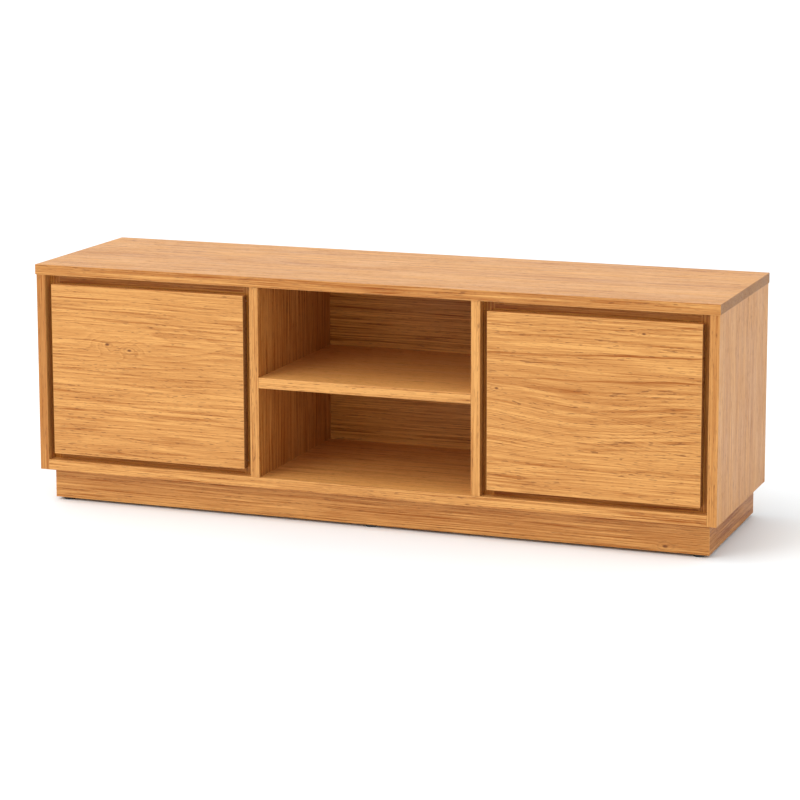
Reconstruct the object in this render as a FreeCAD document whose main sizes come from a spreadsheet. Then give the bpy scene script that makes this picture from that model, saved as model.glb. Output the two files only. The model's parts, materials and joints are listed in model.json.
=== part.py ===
import FreeCAD, Part
import Sketcher
import os
import re
import sys

# A low oak media cabinet: a board carcass on a recessed plinth, three bays side by side, an open centre
# bay with one fixed shelf, and an inset door on each outer bay, hung on concealed cup hinges.
# Millimetres. The origin is on the floor under the middle of the cabinet, +X to the right,
# the doors face -Y, and +Z is up.

DIMENSIONS = [
    # alias, value, what it is
    ("overall_width", 1500, "end to end of the top"),
    ("overall_depth", 420, "front to back of the top"),
    ("overall_height", 520, "floor to the upper face of the top"),
    ("slab_thickness", 22, "top, bottom and centre shelf"),
    ("upright_thickness", 20, "sides and dividers"),
    ("top_overhang", 2, "top past the sides and past the front"),
    ("edge_radius", 1, "eased edges of the boards"),
    ("centre_bay_width", 468, "clear width between the dividers"),
    ("shelf_centre_height", 296, "floor to the middle of the centre shelf"),
    ("shelf_setback", 1, "centre shelf and dividers behind the front edge of the sides"),
    ("back_setback", 402, "front edge of the sides to the face of the back panel"),
    ("back_thickness", 9, "back panel"),
    ("rebate_depth", 9, "back panel let into the boards around it"),
    ("rebate_play", 0.5, "back panel smaller than its rebates, each side"),
    ("cable_hole_radius", 30, "holes for cables in the back panel"),
    ("cable_hole_margin", 62, "middle of a cable hole to the nearest board"),
    ("glide_height", 6, "glides under the plinth"),
    ("glide_radius", 12, "glides"),
    ("glide_from_end", 24, "middle of the outer glides to the ends of the plinth"),
    ("glide_inset", 16, "middle of a glide behind the outer face of its plinth board"),
    ("spigot_radius", 3, "spigot of a glide"),
    ("spigot_length", 14, "spigot of a glide, above its pad"),
    ("plinth_height", 66, "plinth boards"),
    ("plinth_thickness", 20, "plinth boards"),
    ("plinth_side_setback", 21, "plinth inside the outer face of the sides"),
    ("plinth_front_setback", 30, "plinth behind the front edge of the sides"),
    ("plinth_rear_setback", 12, "plinth inside the rear edge of the sides"),
    ("block_leg", 36, "corner blocks inside the plinth, both ways"),
    ("block_height", 56, "corner blocks"),
    ("plinth_rail_lift", 8, "cross rails above the lower edge of the plinth"),
    ("door_thickness", 20, "doors"),
    ("door_inset", 1, "door face behind the front edge of the sides"),
    ("door_side_gap", 14, "finger gap at both upright edges of a door"),
    ("door_top_gap", 20, "gap above a door"),
    ("door_bottom_gap", 15, "gap below a door"),
    ("frame_gap", 3.5, "back of a closed door to the frame behind it"),
    ("frame_depth", 30, "stiles and rails, front to back"),
    ("stile_width", 22, "stiles"),
    ("top_rail_height", 26, "upper rails"),
    ("bottom_rail_height", 21, "lower rails"),
    ("inner_shelf_thickness", 18, "loose shelf behind each door"),
    ("inner_shelf_level", 288, "floor to the underside of the loose shelves"),
    ("inner_shelf_play", 1, "loose shelf to the uprights, each side"),
    ("hole_pitch", 32, "rows of holes for the shelf pins"),
    ("shelf_pin_radius", 2.5, "shelf pins"),
    ("shelf_pin_hole_depth", 10, "holes for the shelf pins"),
    ("shelf_pin_reach", 8, "shelf pin out of the upright"),
    ("dowel_radius", 4, "carcass dowels"),
    ("dowel_length", 30, "carcass dowels"),
    ("dowel_bite", 12, "part of a carcass dowel inside the board that it stands on"),
    ("frame_dowel_radius", 3, "frame dowels"),
    ("inner_shelf_front_play", 3, "loose shelf behind the frame"),
    ("inner_shelf_rear_play", 2, "loose shelf in front of the back panel"),
    ("hinge_from_end", 70, "hinge centre to the upper or lower end of its door"),
    ("pin_from_edge", 8, "hinge pin to the outer edge of its door"),
    ("pin_from_back", 10, "hinge pin in front of the back of its door"),
    ("pin_radius", 1.2, "hinge pin"),
    ("pin_length", 19.6, "hinge pin"),
    ("pin_clearance", 0.05, "radial, hinge pin to knuckle"),
    ("knuckle_radius", 2.2, "knuckle of the hinge arm"),
    ("knuckle_height", 12, "knuckle and arm, up and down"),
    ("arm_thickness", 2.4, "hinge arm"),
    ("arm_reach", 15, "hinge pin to the middle of the arm's long leg"),
    ("arm_length", 36, "long leg of the arm, from the hinge pin back"),
    ("cup_radius", 17.5, "hinge cup"),
    ("cup_from_edge", 3, "cup to the outer edge of the door"),
    ("cup_depth", 14, "cup into the door"),
    ("cup_wall", 1, "cup"),
    ("cup_play", 0.05, "radial, cup to its bore in the door"),
    ("flange_thickness", 1.2, "flange of the cup on the back of the door"),
    ("flange_length", 60, "flange, up and down"),
    ("flange_width", 20, "straight part of the flange, across"),
    ("flange_offset", 5.5, "middle of that part, inwards from the centre of the cup"),
    ("cup_screw_spacing", 48, "screws of a cup, up and down"),
    ("cup_screw_offset", 6, "screws of a cup, inwards from its centre"),
    ("short_screw_length", 12, "screws of the cups and of the strike plates"),
    ("hinge_block_depth", 26, "block that carries the arm, front to back"),
    ("hinge_block_height", 46, "block that carries the arm, up and down"),
    ("block_screw_spacing", 32, "screws of the block, up and down"),
    ("block_screw_length", 20, "screws of the block"),
    ("block_foot", 4, "block under the heads of its screws"),
    ("block_well_radius", 4.2, "wells for the heads of the block's screws"),
    ("fitting_play", 1, "hinge blocks and catches behind the front of the frame"),
    ("arm_screw_radius", 2, "screw that clamps the arm to its block"),
    ("arm_screw_length", 9, "the same screw, under its head"),
    ("arm_screw_head_radius", 3.4, "head of that screw"),
    ("arm_screw_head_height", 1.6, "head of that screw"),
    ("arm_screw_from_end", 8, "that screw to the rear end of the arm"),
    ("catch_height", 46, "magnetic catch, up and down"),
    ("catch_width", 14, "magnetic catch, off the stile"),
    ("catch_depth", 22, "magnetic catch, front to back"),
    ("catch_base", 6, "foot of the catch, off the stile"),
    ("catch_nose_height", 24, "nose of the catch, up and down"),
    ("catch_nose_reach", 2, "nose in front of the foot"),
    ("catch_screw_setback", 16, "screws of the catch behind the front of the frame"),
    ("catch_screw_spacing", 34, "screws of the catch, up and down"),
    ("catch_screw_length", 18, "screws of the catch"),
    ("catch_foot", 4, "catch under the heads of its screws"),
    ("catch_well_radius", 3.6, "wells for the heads of the catch's screws"),
    ("magnet_width", 6, "magnet"),
    ("magnet_depth", 10, "magnet, front to back"),
    ("magnet_height", 18, "magnet, up and down"),
    ("strike_width", 12, "steel strike plate on the door"),
    ("strike_height", 34, "steel strike plate on the door"),
    ("strike_thickness", 1.2, "steel strike plate on the door"),
    ("strike_play", 0.3, "closed strike plate to magnet"),
    ("bumper_radius", 3.5, "bumpers on the back of a door"),
    ("bumper_play", 0.2, "closed bumper to the frame"),
    ("bumper_from_side", 0.8, "bumper to the upright edge of the door"),
    ("bumper_from_end", 14, "middle of a bumper to the upper or lower end of the door"),
    ("screw_radius", 1.6, "shank of the small screws"),
    ("back_screw_length", 16, "screws of the back panel"),
    ("back_screw_radius", 1.4, "shank of those screws"),
    ("back_screw_from_side", 90, "outer screws along the top and bottom to the sides"),
    ("plinth_screw_length", 45, "screws up through the corner blocks"),
    ("plinth_screw_radius", 2, "shank of those screws"),
    ("plinth_screw_bite", 14, "those screws inside the bottom"),
    ("plinth_well_radius", 5, "wells for their heads in the blocks"),
]

# Places worked out from the dimensions.
PLACES = {
    "side_outer": "overall_width / 2 - top_overhang",
    "side_inner": "side_outer - upright_thickness",
    "side_middle": "side_outer - upright_thickness / 2",
    "divider_inner": "centre_bay_width / 2",
    "divider_outer": "divider_inner + upright_thickness",
    "divider_middle": "divider_inner + upright_thickness / 2",
    "front": "top_overhang - overall_depth / 2",
    "rear": "overall_depth / 2",
    "back_face": "front + back_setback",
    "back_rear": "back_face + back_thickness",
    "plinth_top": "glide_height + plinth_height",
    "bay_floor": "plinth_top + slab_thickness",
    "bay_ceiling": "overall_height - slab_thickness",
    "bay_height": "bay_ceiling - bay_floor",
    "shelf_level": "shelf_centre_height - slab_thickness / 2",
    "shelf_top": "shelf_centre_height + slab_thickness / 2",
    "plinth_outer": "side_outer - plinth_side_setback",
    "plinth_inner": "plinth_outer - plinth_thickness",
    "plinth_front": "front + plinth_front_setback",
    "plinth_front_inner": "plinth_front + plinth_thickness",
    "plinth_rear": "rear - plinth_rear_setback",
    "plinth_rear_inner": "plinth_rear - plinth_thickness",
    "door_outer": "side_inner - door_side_gap",
    "door_inner": "divider_outer + door_side_gap",
    "door_low": "bay_floor + door_bottom_gap",
    "door_high": "bay_ceiling - door_top_gap",
    "door_front": "front + door_inset",
    "door_back": "door_front + door_thickness",
    "frame_front": "door_back + frame_gap",
    "frame_back": "frame_front + frame_depth",
    "outer_stile_face": "side_inner - stile_width",
    "inner_stile_face": "divider_outer + stile_width",
    "pin_x": "door_outer - pin_from_edge",
    "pin_y": "door_back - pin_from_back",
    "cup_x": "door_outer - cup_from_edge - cup_radius",
    "arm_x": "pin_x - arm_reach",
    "block_y": "frame_front + fitting_play + hinge_block_depth / 2",
    "catch_x": "inner_stile_face + catch_width / 2",
    "catch_z": "(door_low + door_high) / 2",
    "pin_level": "inner_shelf_level - shelf_pin_radius",
}

SIDES = {"left": -1, "right": 1}
TURNS = {
    "z": FreeCAD.Rotation(),
    "-z": FreeCAD.Rotation(FreeCAD.Vector(1, 0, 0), 180),
    "x": FreeCAD.Rotation(FreeCAD.Vector(0, 1, 0), 90),
    "-x": FreeCAD.Rotation(FreeCAD.Vector(0, 1, 0), -90),
    "y": FreeCAD.Rotation(FreeCAD.Vector(1, 0, 0), -90),
    "-y": FreeCAD.Rotation(FreeCAD.Vector(1, 0, 0), 90),
}

doc = FreeCAD.newDocument("MediaCabinet")
sheet = doc.addObject("Spreadsheet::Sheet", "Sizes")
for row, (alias, value, note) in enumerate(DIMENSIONS, start=1):
    sheet.set(f"A{row}", note)
    sheet.set(f"B{row}", str(value))
    sheet.setAlias(f"B{row}", alias)
doc.recompute()

ALIASES = {alias for alias, value, note in DIMENSIONS}
pieces = []


def formula(text):
    """The text with each place written out and each dimension's name pointing at its cell."""

    def word(match):
        name = match.group(0)
        if name in PLACES:
            return "(" + formula(PLACES[name]) + ")"
        if name in ALIASES:
            return "Sizes." + name
        return name

    return re.sub(r"[a-z_]+", word, str(text))


def bind(thing, **properties):
    """Bind properties of an object to formulas; a double underscore stands for a dot."""
    for name, text in properties.items():
        thing.setExpression(name.replace("__", "."), formula(text))


def put(thing, at, along="z"):
    """Place an object at three formulas, with its own +Z turned along a direction."""
    thing.Placement = FreeCAD.Placement(FreeCAD.Vector(), TURNS[along])
    x, y, z = at
    bind(thing, Placement__Base__x=x, Placement__Base__y=y, Placement__Base__z=z)
    return thing


def box(name, centre, size):
    """A plain block given by the formulas of its centre and of its size."""
    thing = doc.addObject("Part::Box", name)
    bind(thing, Length=size[0], Width=size[1], Height=size[2])
    corner = [f"({c}) - ({s}) / 2" for c, s in zip(centre, size)]
    return put(thing, corner)


def cylinder(name, radius, length, at, along):
    """A cylinder that starts at a place and runs along a direction."""
    thing = doc.addObject("Part::Cylinder", name)
    bind(thing, Radius=radius, Height=length)
    return put(thing, at, along)


def cone(name, first_radius, second_radius, length, at, along):
    """A cone frustum that starts at a place and runs along a direction."""
    thing = doc.addObject("Part::Cone", name)
    bind(thing, Radius1=first_radius, Radius2=second_radius, Height=length)
    return put(thing, at, along)


def fuse(name, shapes):
    thing = doc.addObject("Part::MultiFuse", name)
    thing.Shapes = shapes
    thing.Refine = True
    return thing


def cut(name, base, tools):
    """The base with all the tools taken away."""
    tool = doc.addObject("Part::Compound", name + "_tools")
    tool.Links = tools
    thing = doc.addObject("Part::Cut", name)
    thing.Base = base
    thing.Tool = tool
    return thing


def piece(label, thing):
    """Name a finished sub-part."""
    thing.Label = label
    pieces.append(thing)
    return thing


def group(label, solids):
    """One sub-part made of identical, separate solids."""
    thing = doc.addObject("Part::Compound", label + "_group")
    thing.Links = solids
    return piece(label, thing)


def outline(sketch, corners):
    """A closed outline whose corners are bound to formulas; a corner at 0 lies on the axis."""
    count = len(corners)
    spread = 10.0  # rough first places of the corners, before the formulas move them
    seeds = [
        FreeCAD.Vector(spread * (x != "0") * (1 + i), spread * (y != "0") * (count - i), 0)
        for i, (x, y) in enumerate(corners)
    ]
    for i in range(count):
        sketch.addGeometry(Part.LineSegment(seeds[i], seeds[(i + 1) % count]))
    for i in range(count):
        sketch.addConstraint(Sketcher.Constraint("Coincident", i, 2, (i + 1) % count, 1))
    for i, (x, y) in enumerate(corners):
        for kind, axis, text in (("DistanceX", -2, x), ("DistanceY", -1, y)):
            if text == "0":
                sketch.addConstraint(Sketcher.Constraint("PointOnObject", i, 1, axis))
                continue
            index = sketch.addConstraint(Sketcher.Constraint(kind, -1, 1, i, 1, spread))
            sketch.setExpression(f"Constraints[{index}]", formula(text))


def board(name, at, corners, height, eased=None):
    """A wooden board: an outline on the level plane raised to its height, some edges eased.

    eased names the sides whose edges are rounded: any of front, back, left, right, top, bottom.
    """
    body = doc.addObject("PartDesign::Body", name)
    sketch = body.newObject("Sketcher::SketchObject", name + "_outline")
    level = [f for f in body.Origin.OriginFeatures if f.Role == "XY_Plane"][0]
    sketch.AttachmentSupport = [(level, "")]
    sketch.MapMode = "FlatFace"
    outline(sketch, corners)
    pad = body.newObject("PartDesign::Pad", name + "_thickness")
    pad.Profile = sketch
    bind(pad, Length=height)
    sketch.Visibility = False
    doc.recompute()
    if eased:
        rounding = body.newObject("PartDesign::Fillet", name + "_eased")
        rounding.Base = (pad, edges_on(pad.Shape, eased))
        bind(rounding, Radius="edge_radius")
    return put(body, at)


def edges_on(shape, sides):
    """Names of the edges that lie on one of the given outer sides of a board."""
    limits = shape.BoundBox
    planes = {
        "left": ("XMin", "XMax", limits.XMin),
        "right": ("XMin", "XMax", limits.XMax),
        "front": ("YMin", "YMax", limits.YMin),
        "back": ("YMin", "YMax", limits.YMax),
        "bottom": ("ZMin", "ZMax", limits.ZMin),
        "top": ("ZMin", "ZMax", limits.ZMax),
    }
    names = []
    for number, edge in enumerate(shape.Edges, start=1):
        for side in sides:
            low, high, level = planes[side]
            lies = abs(getattr(edge.BoundBox, low) - level) < 0.01
            if lies and abs(getattr(edge.BoundBox, high) - level) < 0.01:
                names.append(f"Edge{number}")
                break
    return names


def rectangle(width, depth):
    return [("0", "0"), (width, "0"), (width, depth), ("0", depth)]


def panel(name, centre_x, low_y, low_z, width, depth, height, eased=None):
    """A rectangular board given by its middle across, its front and its underside."""
    at = (f"({centre_x}) - ({width}) / 2", low_y, low_z)
    return board(name, at, rectangle(width, depth), height, eased)


def inward(sign):
    """The direction from one end of the cabinet, -1 or 1, towards the other."""
    return "x" if sign < 0 else "-x"


def screw(name, at, along, length, radius="screw_radius", head="2 * screw_radius"):
    """A countersunk wood screw that starts with its head at a place and runs along a direction."""
    step = {"x": 0, "y": 1, "z": 2}[along[-1]]
    sign = "-" if along.startswith("-") else "+"
    neck = list(at)
    neck[step] = f"({at[step]}) {sign} ({radius})"
    return fuse(
        name,
        [
            cone(name + "_head", head, radius, radius, at, along),
            cylinder(name + "_shank", radius, f"({length}) - ({radius})", neck, along),
        ],
    )


# ---------------------------------------------------------------- carcass dowels

ROW_SETBACKS = (55, 155, 255, 355)
SHELF_SETBACKS = (70, 200, 330)


def carcass_dowels():
    """Dowels between the top, the uprights, the bottom and the centre shelf."""
    solids = []

    def add(name, at, along):
        solids.append(cylinder(name, "dowel_radius", "dowel_length", at, along))

    for name, sign in SIDES.items():
        uprights = {"side": f"{sign} * side_middle", "divider": f"{sign} * divider_middle"}
        for number, setback in enumerate(ROW_SETBACKS):
            y = f"front + {setback}"
            for upright, x in uprights.items():
                add(f"{name}_{upright}_head_dowel_{number}", (x, y, "bay_ceiling + dowel_bite"), "-z")
            foot = (uprights["divider"], y, "bay_floor - dowel_bite")
            add(f"{name}_divider_foot_dowel_{number}", foot, "z")
            floor = (f"{sign} * (side_inner + dowel_bite)", y, "bay_floor - slab_thickness / 2")
            add(f"{name}_side_foot_dowel_{number}", floor, inward(sign))
        for number, setback in enumerate(SHELF_SETBACKS):
            at = (f"{sign} * (divider_inner + dowel_bite)", f"front + {setback}", "shelf_centre_height")
            add(f"{name}_shelf_dowel_{number}", at, inward(sign))
    return solids


dowels = group("carcass_dowels", carcass_dowels())

# ---------------------------------------------------------------- shelf pins and their rows of holes

PIN_SETBACKS = (105, 340)
HOLE_STEPS = (-2, -1, 0, 1, 2)


def pin_rows(name, sign, steps, reach):
    """Pins, or the holes for pins, on the two uprights of an outer bay."""
    solids = []
    uprights = {"outer": ("side_inner", sign), "inner": ("divider_outer", -sign)}
    for upright, (face, way) in uprights.items():
        x = f"{sign} * {face} + {way} * shelf_pin_hole_depth"
        for column, setback in enumerate(PIN_SETBACKS):
            for number, step in enumerate(steps):
                at = (x, f"front + {setback}", f"pin_level + {step} * hole_pitch")
                label = f"{name}_{upright}_{column}_{number}"
                length = f"shelf_pin_hole_depth + {reach}"
                solids.append(cylinder(label, "shelf_pin_radius", length, at, inward(way)))
    return solids


def shelf_pins():
    """Four pins in the middle holes of each outer bay."""
    solids = []
    for name, sign in SIDES.items():
        solids += pin_rows(f"{name}_shelf_pin", sign, (0,), "shelf_pin_reach")
    return solids


group("shelf_pins", shelf_pins())
pin_holes = {name: pin_rows(f"{name}_pin_hole", sign, HOLE_STEPS, "0") for name, sign in SIDES.items()}

# ---------------------------------------------------------------- back panel, its holes and screws

CABLE_HOLES = {
    "left": ("-(side_inner + divider_outer) / 2", "bay_floor + cable_hole_margin"),
    "centre_low": ("divider_inner - cable_hole_margin", "bay_floor + cable_hole_margin"),
    "centre_high": ("divider_inner - cable_hole_margin", "shelf_top + cable_hole_margin"),
    "right": ("(side_inner + divider_outer) / 2", "bay_floor + cable_hole_margin"),
}
UPRIGHT_SCREW_SHARES = (0.1, 0.5, 0.9)


def back_screws():
    """Screws through the back panel into the sides, the dividers, the top and the bottom."""
    places = []
    for sign in SIDES.values():
        for share in UPRIGHT_SCREW_SHARES:
            z = f"bay_floor + {share} * bay_height"
            places.append((f"{sign} * (side_inner + rebate_depth / 2)", z))
            places.append((f"{sign} * divider_middle", z))
        for x in ("side_inner - back_screw_from_side", "(side_inner + divider_outer) / 2"):
            places.append((f"{sign} * ({x})", "bay_ceiling + rebate_depth / 2"))
            places.append((f"{sign} * ({x})", "bay_floor - rebate_depth / 2"))
    radius = "back_screw_radius"
    head = f"2 * {radius}"
    return [
        screw(f"back_screw_{n}", (x, "back_rear", z), "-y", "back_screw_length", radius, head)
        for n, (x, z) in enumerate(places)
    ]


back_screw_group = group("back_screws", back_screws())


def back_panel():
    """The thin panel let into rebates all round, with a cable hole for each compartment."""
    blank = panel(
        "back_blank",
        "0",
        "back_face",
        "bay_floor - rebate_depth + rebate_play",
        "2 * (side_inner + rebate_depth - rebate_play)",
        "back_thickness",
        "bay_height + 2 * (rebate_depth - rebate_play)",
    )
    length = "3 * back_thickness"
    holes = [
        cylinder(f"{name}_cable_hole", "cable_hole_radius", length, (x, "back_face - back_thickness", z), "y")
        for name, (x, z) in CABLE_HOLES.items()
    ]
    return cut("back_cut", blank, holes + [back_screw_group])


piece("back_panel", back_panel())

# ---------------------------------------------------------------- plinth and glides

CORNERS = [(x, y) for x in (-1, 1) for y in (-1, 1)]
BLOCK_X = "plinth_inner - block_leg / 2"
BLOCK_Y = {-1: "plinth_front_inner + block_leg / 2", 1: "plinth_rear_inner - block_leg / 2"}
BLOCK_LOW = "plinth_top - block_height"
SCREW_LOW = "plinth_top + plinth_screw_bite - plinth_screw_length"
GLIDE_X = ("-(plinth_outer - glide_from_end)", "0", "plinth_outer - glide_from_end")
GLIDE_Y = {-1: "plinth_front + glide_inset", 1: "plinth_rear - glide_inset"}
SPIGOT_Y = {-1: "plinth_front + plinth_thickness / 2", 1: "plinth_rear - plinth_thickness / 2"}


def plinth_screws():
    """Long screws up through the corner blocks into the bottom panel."""
    radius = "plinth_screw_radius"
    solids = []
    for n, (x, y) in enumerate(CORNERS):
        at = (f"{x} * ({BLOCK_X})", BLOCK_Y[y], SCREW_LOW)
        solids.append(screw(f"plinth_screw_{n}", at, "z", "plinth_screw_length", radius, f"2 * {radius}"))
    return solids


def glides():
    """Round glides under the ends and the middle of the plinth, each with a spigot in the board."""
    solids = []
    for x in GLIDE_X:
        for y in (-1, 1):
            n = len(solids)
            pad = cylinder(f"glide_pad_{n}", "glide_radius", "glide_height", (x, GLIDE_Y[y], "0"), "z")
            at = (x, SPIGOT_Y[y], "0")
            length = "glide_height + spigot_length"
            spigot = cylinder(f"glide_spigot_{n}", "spigot_radius", length, at, "z")
            solids.append(fuse(f"glide_{n}", [pad, spigot]))
    return solids


plinth_screw_group = group("plinth_screws", plinth_screws())
glide_group = group("glides", glides())


def plinth_front():
    """The front board, mitred at both ends."""
    corners = [
        ("0", "0"),
        ("2 * plinth_outer", "0"),
        ("2 * plinth_outer - plinth_thickness", "plinth_thickness"),
        ("plinth_thickness", "plinth_thickness"),
    ]
    at = ("-(plinth_outer)", "plinth_front", "glide_height")
    return cut("plinth_front_cut", board("plinth_front_blank", at, corners, "plinth_height"), [glide_group])


def plinth_side(name, sign):
    """A side board, mitred at its front end."""
    length = "plinth_rear - plinth_front"
    wide = "plinth_thickness"
    outlines = {
        -1: [("0", "0"), (wide, wide), (wide, length), ("0", length)],
        1: [(wide, "0"), (wide, length), ("0", length), ("0", wide)],
    }
    corner = {-1: "-(plinth_outer)", 1: "plinth_inner"}[sign]
    at = (corner, "plinth_front", "glide_height")
    return board(f"plinth_{name}_board", at, outlines[sign], "plinth_height")


def plinth_rear():
    """The rear board, between the side boards."""
    blank = panel(
        "plinth_rear_blank",
        "0",
        "plinth_rear_inner",
        "glide_height",
        "2 * plinth_inner",
        "plinth_thickness",
        "plinth_height",
    )
    return cut("plinth_rear_cut", blank, [glide_group])


def plinth_rail(name, sign):
    """A cross rail under a divider, from the front board to the rear board."""
    return panel(
        f"{name}_plinth_rail",
        f"{sign} * divider_middle",
        "plinth_front_inner",
        "glide_height + plinth_rail_lift",
        "plinth_thickness",
        "plinth_rear_inner - plinth_front_inner",
        "plinth_height - plinth_rail_lift",
    )


def plinth_block(n, x, y):
    """A corner block with a well for the head of its screw."""
    place = (f"{x} * ({BLOCK_X})", BLOCK_Y[y])
    size = ("block_leg", "block_leg", "block_height")
    blank = box(f"plinth_block_{n}", (*place, f"{BLOCK_LOW} + block_height / 2"), size)
    well_depth = f"{SCREW_LOW} - ({BLOCK_LOW}) + edge_radius"
    at = (*place, f"{BLOCK_LOW} - edge_radius")
    well = cylinder(f"plinth_well_{n}", "plinth_well_radius", well_depth, at, "z")
    return cut(f"plinth_block_cut_{n}", blank, [plinth_screw_group, well])


piece("plinth_front", plinth_front())
piece("plinth_rear", plinth_rear())
for name, sign in SIDES.items():
    piece(f"plinth_{name}", plinth_side(name, sign))
group("plinth_rails", [plinth_rail(name, sign) for name, sign in SIDES.items()])
group("plinth_blocks", [plinth_block(n, x, y) for n, (x, y) in enumerate(CORNERS)])

# ---------------------------------------------------------------- the boards of the carcass


def rebate(name, x, z, width, height):
    """The room taken from a board's rear edge, in which the back panel lies."""
    depth = "rear - back_face"
    return box(name, (x, f"back_face + ({depth})", z), (width, f"2 * ({depth})", height))


def top_panel():
    blank = panel(
        "top_blank",
        "0",
        "-overall_depth / 2",
        "bay_ceiling",
        "overall_width",
        "overall_depth",
        "slab_thickness",
        eased=("top", "bottom", "left", "right"),
    )
    step = rebate("top_rebate", "0", "bay_ceiling", "2 * (side_inner + rebate_depth)", "2 * rebate_depth")
    return cut("top_cut", blank, [step, dowels, back_screw_group])


def bottom_panel():
    blank = panel(
        "bottom_blank",
        "0",
        "front",
        "plinth_top",
        "2 * side_inner",
        "rear - front",
        "slab_thickness",
        eased=("front",),
    )
    step = rebate("bottom_rebate", "0", "bay_floor", "3 * side_inner", "2 * rebate_depth")
    return cut("bottom_cut", blank, [step, dowels, back_screw_group, plinth_screw_group])


def side_panel(name, sign):
    blank = panel(
        f"{name}_side_blank",
        f"{sign} * side_middle",
        "front",
        "plinth_top",
        "upright_thickness",
        "rear - front",
        "bay_ceiling - plinth_top",
        eased=("front", "back", "bottom"),
    )
    step = rebate(
        f"{name}_side_rebate",
        f"{sign} * side_inner",
        "(bay_floor + bay_ceiling) / 2",
        "2 * rebate_depth",
        "bay_height + 2 * rebate_depth",
    )
    return cut(f"{name}_side_cut", blank, [step, dowels, back_screw_group] + pin_holes[name])


def divider(name, sign):
    blank = panel(
        f"{name}_divider_blank",
        f"{sign} * divider_middle",
        "front + shelf_setback",
        "bay_floor",
        "upright_thickness",
        "back_setback - shelf_setback",
        "bay_height",
        eased=("front",),
    )
    return cut(f"{name}_divider_cut", blank, [dowels, back_screw_group] + pin_holes[name])


def centre_shelf():
    blank = panel(
        "shelf_blank",
        "0",
        "front + shelf_setback",
        "shelf_level",
        "centre_bay_width",
        "back_setback - shelf_setback",
        "slab_thickness",
        eased=("front",),
    )
    return cut("shelf_cut", blank, [dowels])


def inner_shelf(name, sign):
    """The loose shelf behind a door, which lies on four pins."""
    return panel(
        f"{name}_inner_shelf_board",
        f"{sign} * (side_inner + divider_outer) / 2",
        "frame_back + inner_shelf_front_play",
        "inner_shelf_level",
        "side_inner - divider_outer - 2 * inner_shelf_play",
        "back_face - frame_back - inner_shelf_front_play - inner_shelf_rear_play",
        "inner_shelf_thickness",
        eased=("front",),
    )


piece("top_panel", top_panel())
piece("bottom_panel", bottom_panel())
piece("centre_shelf", centre_shelf())
for name, sign in SIDES.items():
    piece(f"{name}_side", side_panel(name, sign))
    piece(f"{name}_divider", divider(name, sign))
    piece(f"{name}_inner_shelf", inner_shelf(name, sign))

# ---------------------------------------------------------------- hinges

HINGE_LEVELS = {"low": "door_low + hinge_from_end", "high": "door_high - hinge_from_end"}


def hinge_pin(name, sign, z):
    """The upright pin that joins the cup to the arm; its ends sit in the wall of the cup."""
    at = (f"{sign} * pin_x", "pin_y", f"{z} - pin_length / 2")
    return cylinder(f"{name}_pin", "pin_radius", "pin_length", at, "z")


def cup_screw_pair(name, sign, z):
    """The two screws that hold a cup in the door."""
    x = f"{sign} * (cup_x - cup_screw_offset)"
    solids = []
    for way in (-1, 1):
        at = (x, "door_back + flange_thickness", f"{z} + {way} * cup_screw_spacing / 2")
        solids.append(screw(f"{name}_cup_screw_{way}", at, "-y", "short_screw_length"))
    return solids


def arm_screw(name, sign, z):
    """The screw with a low round head that clamps the arm to its block."""
    y = "pin_y + arm_length - arm_screw_from_end"
    seat = "arm_x - arm_thickness / 2"
    outward = inward(-sign)
    top = (f"{sign} * ({seat} - arm_screw_head_height)", y, z)
    head = cylinder(
        f"{name}_arm_screw_head",
        "arm_screw_head_radius",
        "arm_screw_head_height",
        top,
        outward,
    )
    under = (f"{sign} * ({seat})", y, z)
    shank = cylinder(f"{name}_arm_screw_neck", "arm_screw_radius", "arm_screw_length", under, outward)
    return fuse(f"{name}_arm_screw", [head, shank])


def block_screw_places(sign, z):
    """Where the heads of a block's two screws sit."""
    x = f"{sign} * (outer_stile_face - block_foot)"
    return [(x, "block_y", f"{z} + {way} * block_screw_spacing / 2") for way in (-1, 1)]


def block_screw_pair(name, sign, z):
    """The two screws that hold a block on the edge of the stile."""
    return [
        screw(f"{name}_block_screw_{n}", at, inward(-sign), "block_screw_length")
        for n, at in enumerate(block_screw_places(sign, z))
    ]


def hinge_cup(name, sign, z):
    """The cup and its flange, with the holes for its two screws and for the pin."""
    centre = (f"{sign} * cup_x", "door_back", z)
    shell = cylinder(f"{name}_shell", "cup_radius", "cup_depth", centre, "-y")
    rim = cylinder(f"{name}_rim", "cup_radius + cup_wall", "flange_thickness", centre, "y")
    plate = box(
        f"{name}_plate",
        (f"{sign} * (cup_x - flange_offset)", "door_back + flange_thickness / 2", z),
        ("flange_width", "flange_thickness", "flange_length"),
    )
    floor = (f"{sign} * cup_x", "door_back - cup_depth + cup_wall", z)
    hollow = cylinder(f"{name}_hollow", "cup_radius - cup_wall", "2 * cup_depth", floor, "y")
    solid = fuse(f"{name}_solid", [shell, rim, plate])
    return cut(f"{name}_cup", solid, [hollow, hinge_pins[name], *cup_screws[name]])


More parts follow.
